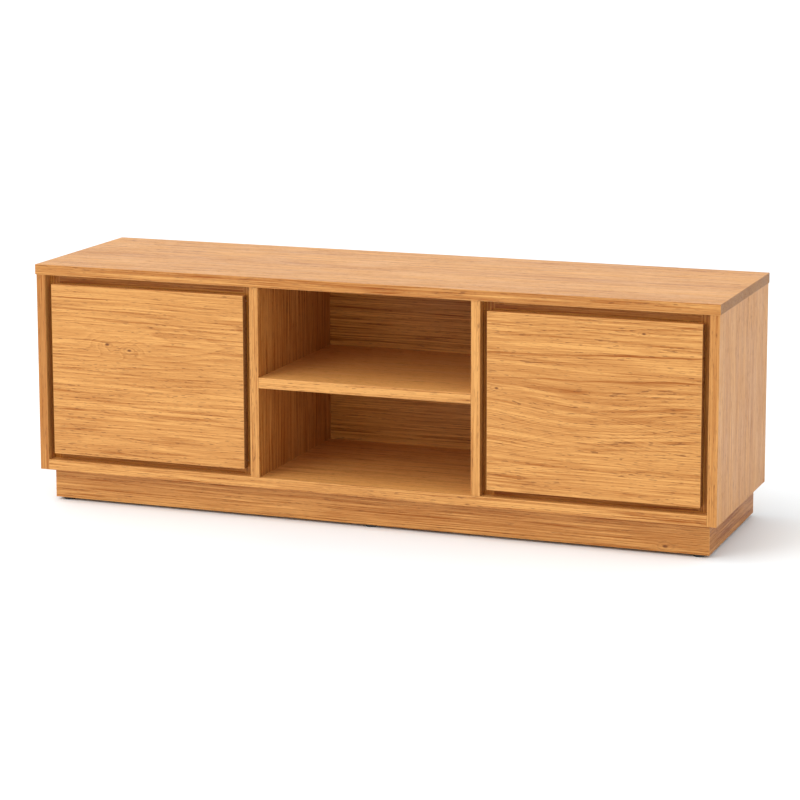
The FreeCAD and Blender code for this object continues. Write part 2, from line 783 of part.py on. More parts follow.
def hinge_arm(name, sign, z):
    """The cranked arm: a knuckle on the pin, a short leg inside the cup, a long leg to the block."""
    knuckle = cylinder(
        f"{name}_knuckle",
        "knuckle_radius",
        "knuckle_height",
        (f"{sign} * pin_x", "pin_y", f"{z} - knuckle_height / 2"),
        "z",
    )
    short_leg = box(
        f"{name}_short_leg",
        (f"{sign} * (pin_x - arm_reach / 2 - arm_thickness / 4)", "pin_y", z),
        ("arm_reach + arm_thickness / 2", "arm_thickness", "knuckle_height"),
    )
    long_leg = box(
        f"{name}_long_leg",
        (f"{sign} * arm_x", "pin_y + arm_length / 2 - arm_thickness / 4", z),
        ("arm_thickness", "arm_length + arm_thickness / 2", "knuckle_height"),
    )
    bore = cylinder(
        f"{name}_bore",
        "pin_radius + pin_clearance",
        "2 * knuckle_height",
        (f"{sign} * pin_x", "pin_y", f"{z} - knuckle_height"),
        "z",
    )
    solid = fuse(f"{name}_arm_solid", [knuckle, short_leg, long_leg])
    return cut(f"{name}_arm", solid, [bore, arm_screws[name]])


def hinge_block(name, sign, z):
    """The cast block on the edge of the stile, which carries the arm."""
    span = "outer_stile_face - arm_x - arm_thickness / 2"
    centre = (f"{sign} * (outer_stile_face - ({span}) / 2)", "block_y", z)
    blank = box(f"{name}_block_blank", centre, (span, "hinge_block_depth", "hinge_block_height"))
    wells = [
        cylinder(f"{name}_block_well_{n}", "block_well_radius", span, at, inward(sign))
        for n, at in enumerate(block_screw_places(sign, z))
    ]
    return cut(f"{name}_block", blank, wells + [arm_screws[name]] + block_screws[name])


def each_hinge(make):
    """A dictionary from each hinge's name to what make gives for it."""
    return {
        f"{name}_{level}_hinge": make(f"{name}_{level}_hinge", sign, z)
        for name, sign in SIDES.items()
        for level, z in HINGE_LEVELS.items()
    }


def of_side(name, parts):
    """The entries of one side's hinges."""
    return [part for hinge, part in parts.items() if hinge.startswith(name)]


hinge_pins = each_hinge(hinge_pin)
cup_screws = each_hinge(cup_screw_pair)
arm_screws = each_hinge(arm_screw)
block_screws = each_hinge(block_screw_pair)
hinge_cups = each_hinge(hinge_cup)
hinge_arms = each_hinge(hinge_arm)
hinge_blocks = each_hinge(hinge_block)

group("arm_screws", list(arm_screws.values()))
block_screw_group = group("hinge_block_screws", sum(block_screws.values(), []))
for name in SIDES:
    group(f"{name}_hinge_cups", of_side(name, hinge_cups))
    group(f"{name}_hinge_pins", of_side(name, hinge_pins))
    group(f"{name}_cup_screws", sum(of_side(name, cup_screws), []))
    group(f"{name}_hinge_arms", of_side(name, hinge_arms))
    group(f"{name}_hinge_blocks", of_side(name, hinge_blocks))

# ---------------------------------------------------------------- magnetic catches and bumpers


def catch_screw_places(sign):
    """Where the heads of a catch's two screws sit."""
    x = f"{sign} * (inner_stile_face + catch_foot)"
    y = "frame_front + catch_screw_setback"
    return [(x, y, f"catch_z + {way} * catch_screw_spacing / 2") for way in (-1, 1)]


def catch_screw_pair(name, sign):
    """Screws of the magnetic catch, into the edge of the stile beside the divider."""
    return [
        screw(f"{name}_catch_screw_{n}", at, inward(sign), "catch_screw_length")
        for n, at in enumerate(catch_screw_places(sign))
    ]


def magnet(name, sign):
    """The magnet in the nose of a catch, just clear of the closed strike plate."""
    face = "door_back + strike_thickness + strike_play"
    centre = (f"{sign} * catch_x", f"{face} + magnet_depth / 2", "catch_z")
    return box(f"{name}_magnet", centre, ("magnet_width", "magnet_depth", "magnet_height"))


def catch(name, sign):
    """The plastic catch on the stile, a foot and a nose, hollow for its magnet."""
    middle = "frame_front + fitting_play + catch_depth / 2"
    foot = box(
        f"{name}_catch_base",
        (f"{sign} * (inner_stile_face + catch_base / 2)", middle, "catch_z"),
        ("catch_base", "catch_depth", "catch_height"),
    )
    nose = box(
        f"{name}_catch_nose",
        (f"{sign} * catch_x", f"{middle} - catch_nose_reach", "catch_z"),
        ("catch_width", "catch_depth", "catch_nose_height"),
    )
    wells = [
        cylinder(f"{name}_catch_well_{n}", "catch_well_radius", "catch_base", at, inward(-sign))
        for n, at in enumerate(catch_screw_places(sign))
    ]
    solid = fuse(f"{name}_catch_solid", [foot, nose])
    return cut(f"{name}_catch_cut", solid, [magnets[name]] + wells + catch_screws[name])


def strike_screw(name, sign):
    at = (f"{sign} * catch_x", "door_back + strike_thickness", "catch_z")
    return screw(f"{name}_strike_fixing", at, "-y", "short_screw_length")


def strike_plate(name, sign):
    """The steel plate on the back of the door that the magnet holds."""
    centre = (f"{sign} * catch_x", "door_back + strike_thickness / 2", "catch_z")
    plate = box(f"{name}_strike_blank", centre, ("strike_width", "strike_thickness", "strike_height"))
    return cut(f"{name}_strike_cut", plate, [strike_screws[name]])


def bumper_pair(name, sign):
    """Rubber bumpers at the free corners of a door, which rest on the inner stile."""
    x = f"{sign} * (door_inner + bumper_from_side + bumper_radius)"
    heights = {"low": "door_low + bumper_from_end", "high": "door_high - bumper_from_end"}
    length = "frame_gap - bumper_play"
    return [
        cylinder(f"{name}_{end}_bumper", "bumper_radius", length, (x, "door_back", z), "y")
        for end, z in heights.items()
    ]


magnets = {name: magnet(name, sign) for name, sign in SIDES.items()}
catch_screws = {name: catch_screw_pair(name, sign) for name, sign in SIDES.items()}
strike_screws = {name: strike_screw(name, sign) for name, sign in SIDES.items()}
group("catch_magnets", list(magnets.values()))
catch_screw_group = group("catch_screws", sum(catch_screws.values(), []))
for name, sign in SIDES.items():
    piece(f"{name}_catch", catch(name, sign))
    piece(f"{name}_strike_plate", strike_plate(name, sign))
    piece(f"{name}_strike_screw", strike_screws[name])
    group(f"{name}_bumpers", bumper_pair(name, sign))

# ---------------------------------------------------------------- doors and the frames behind them

STILES = {"outer": "side_inner - stile_width / 2", "inner": "divider_outer + stile_width / 2"}
RAILS = {
    "top": ("bay_ceiling - top_rail_height", "top_rail_height"),
    "bottom": ("bay_floor", "bottom_rail_height"),
}


def door(name, sign):
    """A solid door with two cup bores in its back."""
    blank = panel(
        f"{name}_door_blank",
        f"{sign} * (door_outer + door_inner) / 2",
        "door_front",
        "door_low",
        "door_outer - door_inner",
        "door_thickness",
        "door_high - door_low",
        eased=("front", "back", "left", "right"),
    )
    bores = [
        cylinder(
            f"{name}_{level}_bore",
            "cup_radius + cup_play",
            "2 * (cup_depth + cup_play)",
            (f"{sign} * cup_x", "door_back - cup_depth - cup_play", z),
            "y",
        )
        for level, z in HINGE_LEVELS.items()
    ]
    screws = sum(of_side(name, cup_screws), []) + [strike_screws[name]]
    return cut(f"{name}_door_cut", blank, bores + screws)


def frame_dowels():
    """Dowels between the rails and the stiles."""
    solids = []
    for name, sign in SIDES.items():
        ends = {"outer": ("outer_stile_face", sign), "inner": ("inner_stile_face", -sign)}
        for rail, (low, height) in RAILS.items():
            for end, (face, way) in ends.items():
                x = f"{sign} * {face} + {way} * dowel_bite"
                at = (x, "frame_front + frame_depth / 2", f"{low} + {height} / 2")
                label = f"{name}_{rail}_{end}_dowel"
                solids.append(cylinder(label, "frame_dowel_radius", "dowel_length", at, inward(way)))
    return solids


def stile(name, sign, end, screws):
    """An upright of the frame, the full height of its bay."""
    blank = panel(
        f"{name}_{end}_stile_blank",
        f"{sign} * ({STILES[end]})",
        "frame_front",
        "bay_floor",
        "stile_width",
        "frame_depth",
        "bay_height",
    )
    return cut(f"{name}_{end}_stile_cut", blank, [frame_dowel_group, screws])


def rail(name, sign, end):
    """A rail of the frame, between its stiles."""
    low, height = RAILS[end]
    blank = panel(
        f"{name}_{end}_rail_blank",
        f"{sign} * (side_inner + divider_outer) / 2",
        "frame_front",
        low,
        "outer_stile_face - inner_stile_face",
        "frame_depth",
        height,
    )
    return cut(f"{name}_{end}_rail_cut", blank, [frame_dowel_group])


frame_dowel_group = group("frame_dowels", frame_dowels())
for name, sign in SIDES.items():
    piece(f"{name}_door", door(name, sign))
    piece(f"{name}_outer_stile", stile(name, sign, "outer", block_screw_group))
    piece(f"{name}_inner_stile", stile(name, sign, "inner", catch_screw_group))
    piece(f"{name}_top_rail", rail(name, sign, "top"))
    piece(f"{name}_bottom_rail", rail(name, sign, "bottom"))

# ---------------------------------------------------------------- checks and files

doc.recompute()
failed = [thing.Name for thing in doc.Objects if {"Invalid", "Error"} & set(thing.State)]
failed += [thing.Label for thing in pieces if thing.Shape.isNull() or not thing.Shape.isValid()]
if failed:
    sys.exit("failed: " + ", ".join(failed))

os.makedirs("parts", exist_ok=True)
for thing in pieces:
    thing.Shape.exportStep(f"parts/{thing.Label}.step")
    print(thing.Label, len(thing.Shape.Solids), round(thing.Shape.Volume))
print(len(pieces), "nodes")
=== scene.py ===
import json
import math

import bmesh
import bpy
from mathutils import Matrix, Vector

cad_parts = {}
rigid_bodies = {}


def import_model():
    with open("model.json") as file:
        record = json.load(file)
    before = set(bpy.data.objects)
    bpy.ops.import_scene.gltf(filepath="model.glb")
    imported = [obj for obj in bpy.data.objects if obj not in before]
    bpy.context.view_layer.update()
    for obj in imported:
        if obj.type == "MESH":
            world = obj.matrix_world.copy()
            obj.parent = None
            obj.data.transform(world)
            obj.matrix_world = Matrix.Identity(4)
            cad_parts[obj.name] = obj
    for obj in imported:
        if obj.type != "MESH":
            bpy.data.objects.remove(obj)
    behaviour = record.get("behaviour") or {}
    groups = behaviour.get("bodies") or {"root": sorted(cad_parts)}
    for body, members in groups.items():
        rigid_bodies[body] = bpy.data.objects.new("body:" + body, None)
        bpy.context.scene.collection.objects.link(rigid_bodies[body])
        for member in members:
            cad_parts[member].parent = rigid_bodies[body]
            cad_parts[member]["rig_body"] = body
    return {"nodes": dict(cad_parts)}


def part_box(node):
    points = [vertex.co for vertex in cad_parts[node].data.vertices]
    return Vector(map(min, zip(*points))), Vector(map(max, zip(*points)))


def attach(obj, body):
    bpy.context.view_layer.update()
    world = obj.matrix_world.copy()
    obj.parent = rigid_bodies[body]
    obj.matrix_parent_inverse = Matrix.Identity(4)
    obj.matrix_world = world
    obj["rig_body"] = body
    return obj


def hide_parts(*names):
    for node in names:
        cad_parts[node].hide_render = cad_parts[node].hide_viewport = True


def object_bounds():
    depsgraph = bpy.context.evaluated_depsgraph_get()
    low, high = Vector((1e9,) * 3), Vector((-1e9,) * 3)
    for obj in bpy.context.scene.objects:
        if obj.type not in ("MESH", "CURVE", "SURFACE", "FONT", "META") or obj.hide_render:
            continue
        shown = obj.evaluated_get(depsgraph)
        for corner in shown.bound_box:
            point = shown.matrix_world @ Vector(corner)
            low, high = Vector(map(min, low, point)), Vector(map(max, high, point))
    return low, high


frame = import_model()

# A low oak media cabinet: an inset door on each side of two open bays, on a plinth that is set back.
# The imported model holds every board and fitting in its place. This script gives each its surface,
# puts threads and drives on the screws, and adds the floor, the light and the camera.
# Everything is in metres: X runs to the right, Y to the back and Z up.

NODES = frame["nodes"]
CAD_LOW, CAD_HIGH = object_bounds()
MIDDLE = (CAD_LOW + CAD_HIGH) / 2


# ---------------------------------------------------------------- shader nodes


class Graph:
    """Adds nodes to one shader tree. An input is another node's output or a plain value."""

    def __init__(self, tree):
        self.tree = tree

    def add(self, kind, inputs, output=0, **settings):
        """One node, its own settings and its sockets, which are named or numbered in inputs."""
        node = self.tree.nodes.new(kind)
        for name, value in settings.items():
            setattr(node, name, value)
        for key, value in inputs.items():
            if isinstance(value, bpy.types.NodeSocket):
                self.tree.links.new(value, node.inputs[key])
            else:
                node.inputs[key].default_value = value
        return node.outputs[output]

    def math(self, operation, *values):
        """Arithmetic on numbers; more than two values are taken one after another."""
        result = self.add("ShaderNodeMath", dict(enumerate(values[:2])), operation=operation)
        for value in values[2:]:
            result = self.add("ShaderNodeMath", {0: result, 1: value}, operation=operation)
        return result

    def sum(self, *values):
        return self.math("ADD", *values)

    def times(self, *values):
        return self.math("MULTIPLY", *values)

    def less(self, first, second):
        return self.math("SUBTRACT", first, second)

    def vector(self, operation, *values):
        return self.add("ShaderNodeVectorMath", dict(enumerate(values)), operation=operation)

    def split(self, vector):
        node = self.add("ShaderNodeSeparateXYZ", {0: vector}).node
        return list(node.outputs)

    def join(self, *values):
        return self.add("ShaderNodeCombineXYZ", dict(enumerate(values)))

    def rise(self, value, low, high):
        """0 below low, 1 above high, and smooth between them."""
        inputs = {"Value": value, "From Min": low, "From Max": high}
        return self.add("ShaderNodeMapRange", inputs, interpolation_type="SMOOTHSTEP")

    def fall(self, value, low, high):
        """1 below low, 0 above high, and smooth between them."""
        return self.less(1.0, self.rise(value, low, high))

    def contour(self, value, inner, outer):
        """Thin lines where a noise passes through its middle: 1 on the line, 0 beside it."""
        return self.fall(self.math("ABSOLUTE", self.less(value, 0.5)), inner, outer)

    def spread(self, value, low, high):
        """A value of 0 to 1 taken to low to high, in proportion."""
        return self.add("ShaderNodeMapRange", {"Value": value, "To Min": low, "To Max": high})

    def noise(self, vector, scale, detail=2.0, roughness=0.5, output=0):
        """Smooth noise about 0.5. scale is in cycles per metre, one number or one for each axis."""
        if isinstance(scale, tuple):
            vector, scale = self.vector("MULTIPLY", vector, scale), 1.0
        inputs = {"Vector": vector, "Scale": scale, "Detail": detail, "Roughness": roughness}
        return self.add("ShaderNodeTexNoise", inputs, output)

    def luck(self, *values):
        """Three numbers of 0 to 1 that are the same for the same values."""
        colour = self.add("ShaderNodeTexWhiteNoise", {"Vector": self.join(*values)}, 1)
        return self.split(colour)

    def mix(self, factor, first, second, **settings):
        """A colour between two others."""
        inputs = {0: factor, 6: first, 7: second}
        return self.add("ShaderNodeMix", inputs, 2, data_type="RGBA", **settings)

    def object_place(self):
        """The place of the point that is shaded, in its object's own axes."""
        return self.add("ShaderNodeTexCoord", {}).node.outputs["Object"]


def linear(red, green, blue):
    """A colour for a shader socket."""
    return (red, green, blue, 1.0)


# ---------------------------------------------------------------- sawn wood

# What a board can set. Lengths are in metres. The pith is the middle of the tree, from the middle of
# the board (or of each stave), and its slopes say how far it drifts along the grain. Tone is added
# darkness all over, partly the timber's own and partly painted shade; the painted edge shade is painted
# shade on the long edges only. Below 0, either one is painted light.
WOOD_INPUTS = {
    "Place": (0.0, 0.0, 0.0),
    "Facing": (0.0, 0.0, 0.0),
    "Half Size": (1.0, 1.0, 1.0),
    "Seed": 0.0,
    "Stave": 10.0,
    "Stave Spread": 0.0,
    "Pith Across": 0.0,
    "Pith Deep": 0.09,
    "Slope Across": 0.0,
    "Slope Deep": 0.0,
    "Ring": 0.0038,
    "Wander": 0.022,
    "Knot Push": 0.0,
    "Knot Heart": 0.0,
    "Streak": 0.0,
    "Tone": 0.0,
    "Edge Tone": 0.0,
    "Contrast": 1.0,
    "Pore": 1.0,
    "Figure": 1.0,
    "Light Wood": linear(0.64, 0.300, 0.082),
    "Dark Wood": linear(0.355, 0.110, 0.013),
    "Pore Colour": linear(0.150, 0.044, 0.010),
}
WOOD_OUTPUTS = {
    "Colour": "NodeSocketColor",
    "Roughness": "NodeSocketFloat",
    "Height": "NodeSocketFloat",
}

GRAIN_LEAN = 0.35  # how far the grain lines follow the rings; at 0 they run dead straight
STAVE_SHADES = 0.18  # from the palest stave of a board to the darkest
MIDDLE_TONE = 0.24  # of plain wood, from the light colour at 0 to the dark one at 1
SEAM_WIDTH = 0.0005  # glue line between two staves
ARRIS_WIDTH = 0.0022  # edges are painted pale over this width, partly as wear and partly as a painted highlight
FACES_AXIS = (0.60, 0.85)  # a normal's part along an axis, from not facing it to facing it fully
END_GRAIN_TINT = linear(0.54, 0.53, 0.61)
RING_TREMBLE = 0.0035  # how far small waves move the rings


def wood_sockets(tree):
    """Gives the wood group its inputs and outputs."""
    for name, value in WOOD_INPUTS.items():
        size = len(value) if isinstance(value, tuple) else 1
        kind = {1: "NodeSocketFloat", 3: "NodeSocketVector", 4: "NodeSocketColor"}[size]
        socket = tree.interface.new_socket(name, in_out="INPUT", socket_type=kind)
        socket.default_value = value
    for name, kind in WOOD_OUTPUTS.items():
        tree.interface.new_socket(name, in_out="OUTPUT", socket_type=kind)


def wood_group():
    """Sawn timber as a solid: rings about a pith, fibres, pores and glued staves.

    Place is (along the grain, across the face, through the board) from the board's middle.
    """
    tree = bpy.data.node_groups.new("sawn_wood", "ShaderNodeTree")
    wood_sockets(tree)
    g = Graph(tree)
    given = g.add("NodeGroupInput", {}).node.outputs
    along, across, deep = g.split(given["Place"])
    seed = given["Seed"]

    # Staves: each one has its own pith, shade and piece of the noise.
    stave = g.sum(g.math("DIVIDE", across, given["Stave"]), 0.5)
    number = g.math("FLOOR", stave)
    local = g.times(g.less(g.less(stave, number), 0.5), given["Stave"])
    lucky = g.luck(number, seed, 3.7)
    to_seam = g.less(g.times(given["Stave"], 0.5), g.math("ABSOLUTE", local))
    inset = g.vector("SUBTRACT", given["Half Size"], g.vector("ABSOLUTE", given["Place"]))
    gaps = g.split(inset)
    seam = g.times(g.fall(to_seam, 0.3 * SEAM_WIDTH, SEAM_WIDTH), g.rise(gaps[1], 0.002, 0.004))
    piece = g.join(
        g.sum(along, g.times(lucky[0], 9.0), seed),
        g.sum(across, g.times(lucky[1], 5.0)),
        g.sum(deep, g.times(lucky[2], 5.0)),
    )

    # Rings: the distance to the pith, bent by slow drifts and knots, counted in years.
    drift = g.split(g.noise(piece, (1.5, 7.0, 7.0), 2.0, output=1))
    tremble = g.noise(piece, (7.0, 46.0, 46.0), 2.0)
    from_pith = []
    for offset, luck_value, pith, slope, bend in (
        (local, lucky[0], "Pith Across", "Slope Across", drift[0]),
        (deep, lucky[1], "Pith Deep", "Slope Deep", drift[1]),
    ):
        centre = g.sum(given[pith], g.times(g.less(luck_value, 0.5), given["Stave Spread"]))
        centre = g.sum(centre, g.times(given[slope], along))
        wander = g.times(g.less(bend, 0.5), given["Wander"])
        from_pith.append(g.sum(g.less(offset, centre), wander))
    square = g.sum(g.times(from_pith[0], from_pith[0]), g.times(from_pith[1], from_pith[1]))
    radius = g.math("SQRT", square)
    radius = g.sum(radius, g.times(g.less(tremble, 0.5), RING_TREMBLE), given["Knot Push"])
    pace = g.noise(g.join(g.times(along, 0.5), g.times(radius, 60.0), g.sum(seed, lucky[2])), 1.0, 1.0)
    age = g.sum(g.math("DIVIDE", radius, given["Ring"]), g.times(g.less(pace, 0.5), 2.2))
    year = g.math("FLOOR", age)
    season = g.less(age, year)
    weather = g.luck(year, seed, g.times(number, 1.37))
    spring_end = g.spread(weather[0], 0.30, 0.75)
    spring = g.math("MAXIMUM", g.fall(season, 0.0, spring_end), g.rise(season, 0.90, 1.0))
    spring = g.times(spring, g.spread(weather[1], 0.25, 1.0))
    winter = g.times(g.rise(season, 0.55, 0.88), g.fall(season, 0.88, 0.97))

    # Fibres, grain lines and pores run along the grain and lean a little with the rings.
    bent = g.vector("ADD", piece, g.join(0.0, g.times(radius, GRAIN_LEAN), 0.0))
    fibre = g.noise(bent, (7.0, 340.0, 340.0), 3.0, 0.62)
    hair = g.noise(bent, (40.0, 1500.0, 1500.0), 1.0)
    band = g.noise(piece, (0.8, 13.0, 13.0), 2.0)
    cloud = g.noise(piece, (3.0, 24.0, 24.0), 2.0)
    pale_line = g.contour(g.noise(bent, (1.3, 130.0, 130.0), 1.0), 0.010, 0.075)
    dark_line = g.contour(g.noise(bent, (1.7, 105.0, 105.0), 1.0), 0.010, 0.070)
    broken = g.rise(g.noise(bent, (9.0, 60.0, 60.0), 1.0), 0.34, 0.58)
    dash = g.rise(g.noise(bent, (60.0, 1300.0, 1300.0), 1.0), 0.60, 0.72)
    wide_dash = g.rise(g.noise(bent, (52.0, 560.0, 560.0), 1.0), 0.60, 0.69)
    vessel = g.math("MAXIMUM", g.times(dash, 0.7), wide_dash)
    in_spring = g.math("MAXIMUM", spring, g.times(dark_line, 0.8))
    pore = g.times(vessel, g.spread(in_spring, 0.25, 1.0), given["Pore"])

    # Colour: spring wood and slow bands are darker, the end of a year is pale.
    facing = [g.math("ABSOLUTE", part) for part in g.split(given["Facing"])]
    grain = g.sum(
        g.times(spring, given["Figure"], 0.27),
        g.times(winter, given["Figure"], -0.14),
        g.times(pale_line, broken, -0.42),
        g.times(dark_line, broken, 0.40),
        g.times(g.less(fibre, 0.5), 1.45),
        g.times(g.less(hair, 0.5), 0.45),
        g.times(g.less(band, 0.5), 0.42),
        g.times(g.less(cloud, 0.5), 0.24),
    )
    # Tone and the painted edge shade bring in painted shade and light, set board by board.
    tone = g.sum(
        g.times(grain, given["Contrast"]),
        g.times(g.less(lucky[2], 0.5), STAVE_SHADES),
        g.times(g.rise(facing[1], *FACES_AXIS), given["Edge Tone"]),
        given["Tone"],
        given["Streak"],
        MIDDLE_TONE,
    )
    darkness_and_painted_shade = g.math("MINIMUM", g.math("MAXIMUM", tone, -0.25), 1.25)
    shade = g.mix(darkness_and_painted_shade, given["Light Wood"], given["Dark Wood"], clamp_factor=False)
    shade = g.mix(g.times(pore, 0.78), shade, given["Pore Colour"])
    shade = g.mix(g.times(given["Knot Heart"], 0.92), shade, given["Pore Colour"])
    shade = g.mix(g.times(seam, 0.55), shade, given["Pore Colour"])

    # End grain drinks more oil and turns dark and grey.
    end = g.rise(facing[0], *FACES_AXIS)
    shade = g.mix(end, shade, g.mix(1.0, shade, END_GRAIN_TINT, blend_type="MULTIPLY"))

    # Edges are painted pale, partly as wear and partly as a painted highlight on the arris: the middle one
    # of the three distances to the box's faces.
    smallest = g.math("MINIMUM", *gaps)
    largest = g.math("MAXIMUM", *gaps)
    edge = g.less(g.less(g.sum(*gaps), smallest), largest)
    patchy = g.spread(g.noise(given["Place"], 45.0, 2.0), 0.2, 1.3)
    wear_and_highlight = g.times(g.fall(edge, 0.35 * ARRIS_WIDTH, ARRIS_WIDTH), patchy)
    shade = g.mix(g.times(wear_and_highlight, 0.38), shade, given["Light Wood"])

    blotch = g.noise(piece, (9.0, 30.0, 30.0), 3.0)
    rough = g.sum(
        0.43,
        g.times(g.less(blotch, 0.5), 0.26),
        g.times(g.less(fibre, 0.5), 0.22),
        g.times(pore, 0.22),
        g.times(end, 0.12),
        g.times(wear_and_highlight, -0.05),
    )
    height = g.sum(
        g.times(pore, -0.22),
        g.times(seam, -0.20),
        g.times(fibre, 0.10),
        g.times(spring, -0.045),
        g.times(given["Knot Heart"], -0.25),
    )
    made = {"Colour": shade, "Roughness": rough, "Height": height}
    out = tree.nodes.new("NodeGroupOutput")
    for name, value in made.items():
        tree.links.new(value, out.inputs[name])
    return tree


KNOT_PUSH = 0.5  # how far a knot bends the rings, for its reach
KNOT_STRETCH = 0.52  # a distance along the grain counts for this much, so a knot is longer that way
KNOT_WOBBLE = 0.7  # how uneven a knot's outline is
STREAK_SWAY = 0.016  # how far a streak strays from its straight line


def knots_and_streaks(g, place, knots, streaks):
    """The push and the dark heart of each knot, and the dark lines and painted shade that cross a board.

    A knot is (along, across, radius, reach), with no radius where it only bends the grain. A streak is
    (across, slope, width, strength, fade), where fade is the way in which the line grows stronger. A wide
    streak is painted shade, a darkening that grows towards one end of the board.
    """
    along, across, _ = g.split(place)
    wobble = g.less(g.noise(place, 42.0, 1.0), 0.5)
    push, heart, dark = 0.0, 0.0, 0.0
    for at_along, at_across, radius, reach in knots:
        ahead = g.times(g.less(along, at_along), KNOT_STRETCH)
        aside = g.less(across, at_across)
        away = g.math("SQRT", g.sum(g.times(ahead, ahead), g.times(aside, aside)))
        if radius:
            away = g.times(away, g.sum(1.0, g.times(wobble, KNOT_WOBBLE)))
        share = g.math("DIVIDE", away, reach)
        bulge = g.math("EXPONENT", g.times(share, share, -1.0))
        push = g.sum(push, g.times(bulge, KNOT_PUSH * reach))
        if not radius:
            continue
        collar = g.times(g.fall(g.math("ABSOLUTE", g.less(away, 2.1 * radius)), 0.0, 0.5 * radius), 0.18)
        heart = g.math("MAXIMUM", heart, g.sum(g.fall(away, 0.35 * radius, radius), collar))
    sway = g.times(g.less(g.noise(place, (7.0, 9.0, 9.0), 3.0), 0.5), STREAK_SWAY)
    for at_across, slope, width, strength, fade in streaks:
        line = g.sum(at_across, g.times(along, slope), sway)
        share = g.math("DIVIDE", g.less(across, line), width)
        dark_line = g.math("EXPONENT", g.times(share, share, -1.0))
        grows = g.rise(g.times(along, fade), -0.2, 0.2)
        dark = g.sum(dark, g.times(dark_line, strength, g.spread(grows, 0.3, 1.0)))
    return {"Knot Push": push, "Knot Heart": heart, "Streak": dark}


def swizzle(g, vector, order):
    """The vector's parts in another order, such as "zyx"."""
    parts = dict(zip("xyz", g.split(vector)))
    return g.join(*(parts[letter] for letter in order))


def wood_material(name, low, high, order, seed, knots=(), streaks=(), **values):
    """A board's own timber, with the painted shade and light that its tones carry. order names its axes:
    along the grain, across the face and through it.
    """
    material, g, shader = blank_material(name, {"Specular IOR Level": 0.28})
    middle, half = (low + high) / 2, (high - low) / 2
    coordinates = g.add("ShaderNodeTexCoord", {}).node.outputs
    place = g.vector("SUBTRACT", coordinates["Object"], middle)
    place = swizzle(g, place, order)
    inputs = {
        "Place": place,
        "Facing": swizzle(g, coordinates["Normal"], order),
        "Half Size": [half["xyz".index(letter)] for letter in order],
        "Seed": seed,
    }
    if knots or streaks:
        inputs.update(knots_and_streaks(g, place, knots, streaks))
    inputs.update({key.replace("_", " ").title(): value for key, value in values.items()})
    wood = g.add("ShaderNodeGroup", {}, 0, node_tree=bpy.data.node_groups["sawn_wood"]).node
    for key, value in inputs.items():
        if isinstance(value, bpy.types.NodeSocket):
            g.tree.links.new(value, wood.inputs[key])
        else:
            wood.inputs[key].default_value = value
    finish_surface(g, shader, wood.outputs["Colour"], wood.outputs["Roughness"], wood.outputs["Height"])
    return material


# ---------------------------------------------------------------- other surfaces


def blank_material(name, settings=()):
    """A material with one shader. Settings are values of the shader's sockets, by name."""
    material = bpy.data.materials.new(name)
    material.use_nodes = True
    g = Graph(material.node_tree)
    shader = next(n for n in material.node_tree.nodes if n.type == "BSDF_PRINCIPLED")
    for key, value in dict(settings).items():
        shader.inputs[key].default_value = value
    return material, g, shader


def finish_surface(g, shader, colour, rough, height):
    """Wires colour, roughness and a height in millimetres to a shader."""
    bump = g.add("ShaderNodeBump", {"Height": height, "Distance": 0.001, "Strength": 1.0})
    g.tree.links.new(colour, shader.inputs["Base Color"])
    g.tree.links.new(rough, shader.inputs["Roughness"])
    g.tree.links.new(bump, shader.inputs["Normal"])


def metal(name, bright, dull, rough, brushed, cast=0.0):
    """Plated or cast metal: fine brush lines or a cast skin, dull patches and small scratches.

    brushed is the brush lines' cycles per metre on each axis, and cast the skin's height in millimetres.
    """
    material, g, shader = blank_material(name, {"Metallic": 1.0})
    place = g.object_place()
    lines = g.noise(place, brushed, 2.0)
    skin = g.noise(place, 1600.0, 2.0)
    patch = g.rise(g.noise(place, 120.0, 3.0), 0.45, 0.70)
    scratch = g.rise(g.noise(place, (900.0, 60.0, 2600.0), 1.0), 0.70, 0.76)
    colour = g.mix(g.times(patch, 0.35), bright, dull)
    colour = g.mix(g.times(g.less(lines, 0.35), 0.35), colour, dull)
    roughness = g.sum(rough, g.times(patch, 0.16), g.times(g.less(lines, 0.5), 0.18), g.times(scratch, 0.1))
    height = g.sum(g.times(lines, 0.012), g.times(skin, cast), g.times(scratch, -0.012))
    finish_surface(g, shader, colour, roughness, height)
    return material


def plastic(name, colour, worn, rough, grain, settings=()):
    """Moulded plastic or rubber: a grained skin with worn patches. grain is in cycles per metre."""
    material, g, shader = blank_material(name, settings)
    place = g.object_place()
    skin = g.noise(place, grain, 2.0)
    patch = g.rise(g.noise(place, 120.0, 3.0), 0.45, 0.70)
    shade = g.mix(g.times(patch, 0.5), colour, worn)
    roughness = g.sum(rough, g.times(g.less(skin, 0.5), 0.2), g.times(patch, -0.06))
    finish_surface(g, shader, shade, roughness, g.times(skin, 0.03))
    return material


# ---------------------------------------------------------------- which board is cut how

# Which axis runs along a board's grain, which across its face and which through it.
HORIZONTAL_FRONT = "xzy"
UPRIGHT_SIDE = "zyx"
UPRIGHT_FRONT = "zxy"
LYING_FLAT = "xyz"
PLINTH_SIDE = "yzx"

# Distances are from the board's middle, in the order that knots_and_streaks takes them.
LEFT_DOOR_KNOTS = ((-0.092, 0.062, 0.0030, 0.018), (-0.040, 0.052, 0.0032, 0.016))
RIGHT_DOOR_KNOTS = (
    (0.104, 0.158, 0.0026, 0.008),
    (-0.202, 0.028, 0.0034, 0.012),
    (-0.02, -0.03, 0.0, 0.09),  # no knot shows here, but the grain swells round it
)
RIGHT_DOOR_STREAKS = (
    (0.108, 0.036, 0.0017, 1.15, 1.0),
    (0.057, 0.040, 0.0018, 0.85, 0.4),
    (0.050, 0.043, 0.0065, 0.22, 0.2),
    (0.020, -0.050, 0.0050, 0.20, 0.6),
    (-0.012, -0.060, 0.0040, 0.18, 0.6),
)
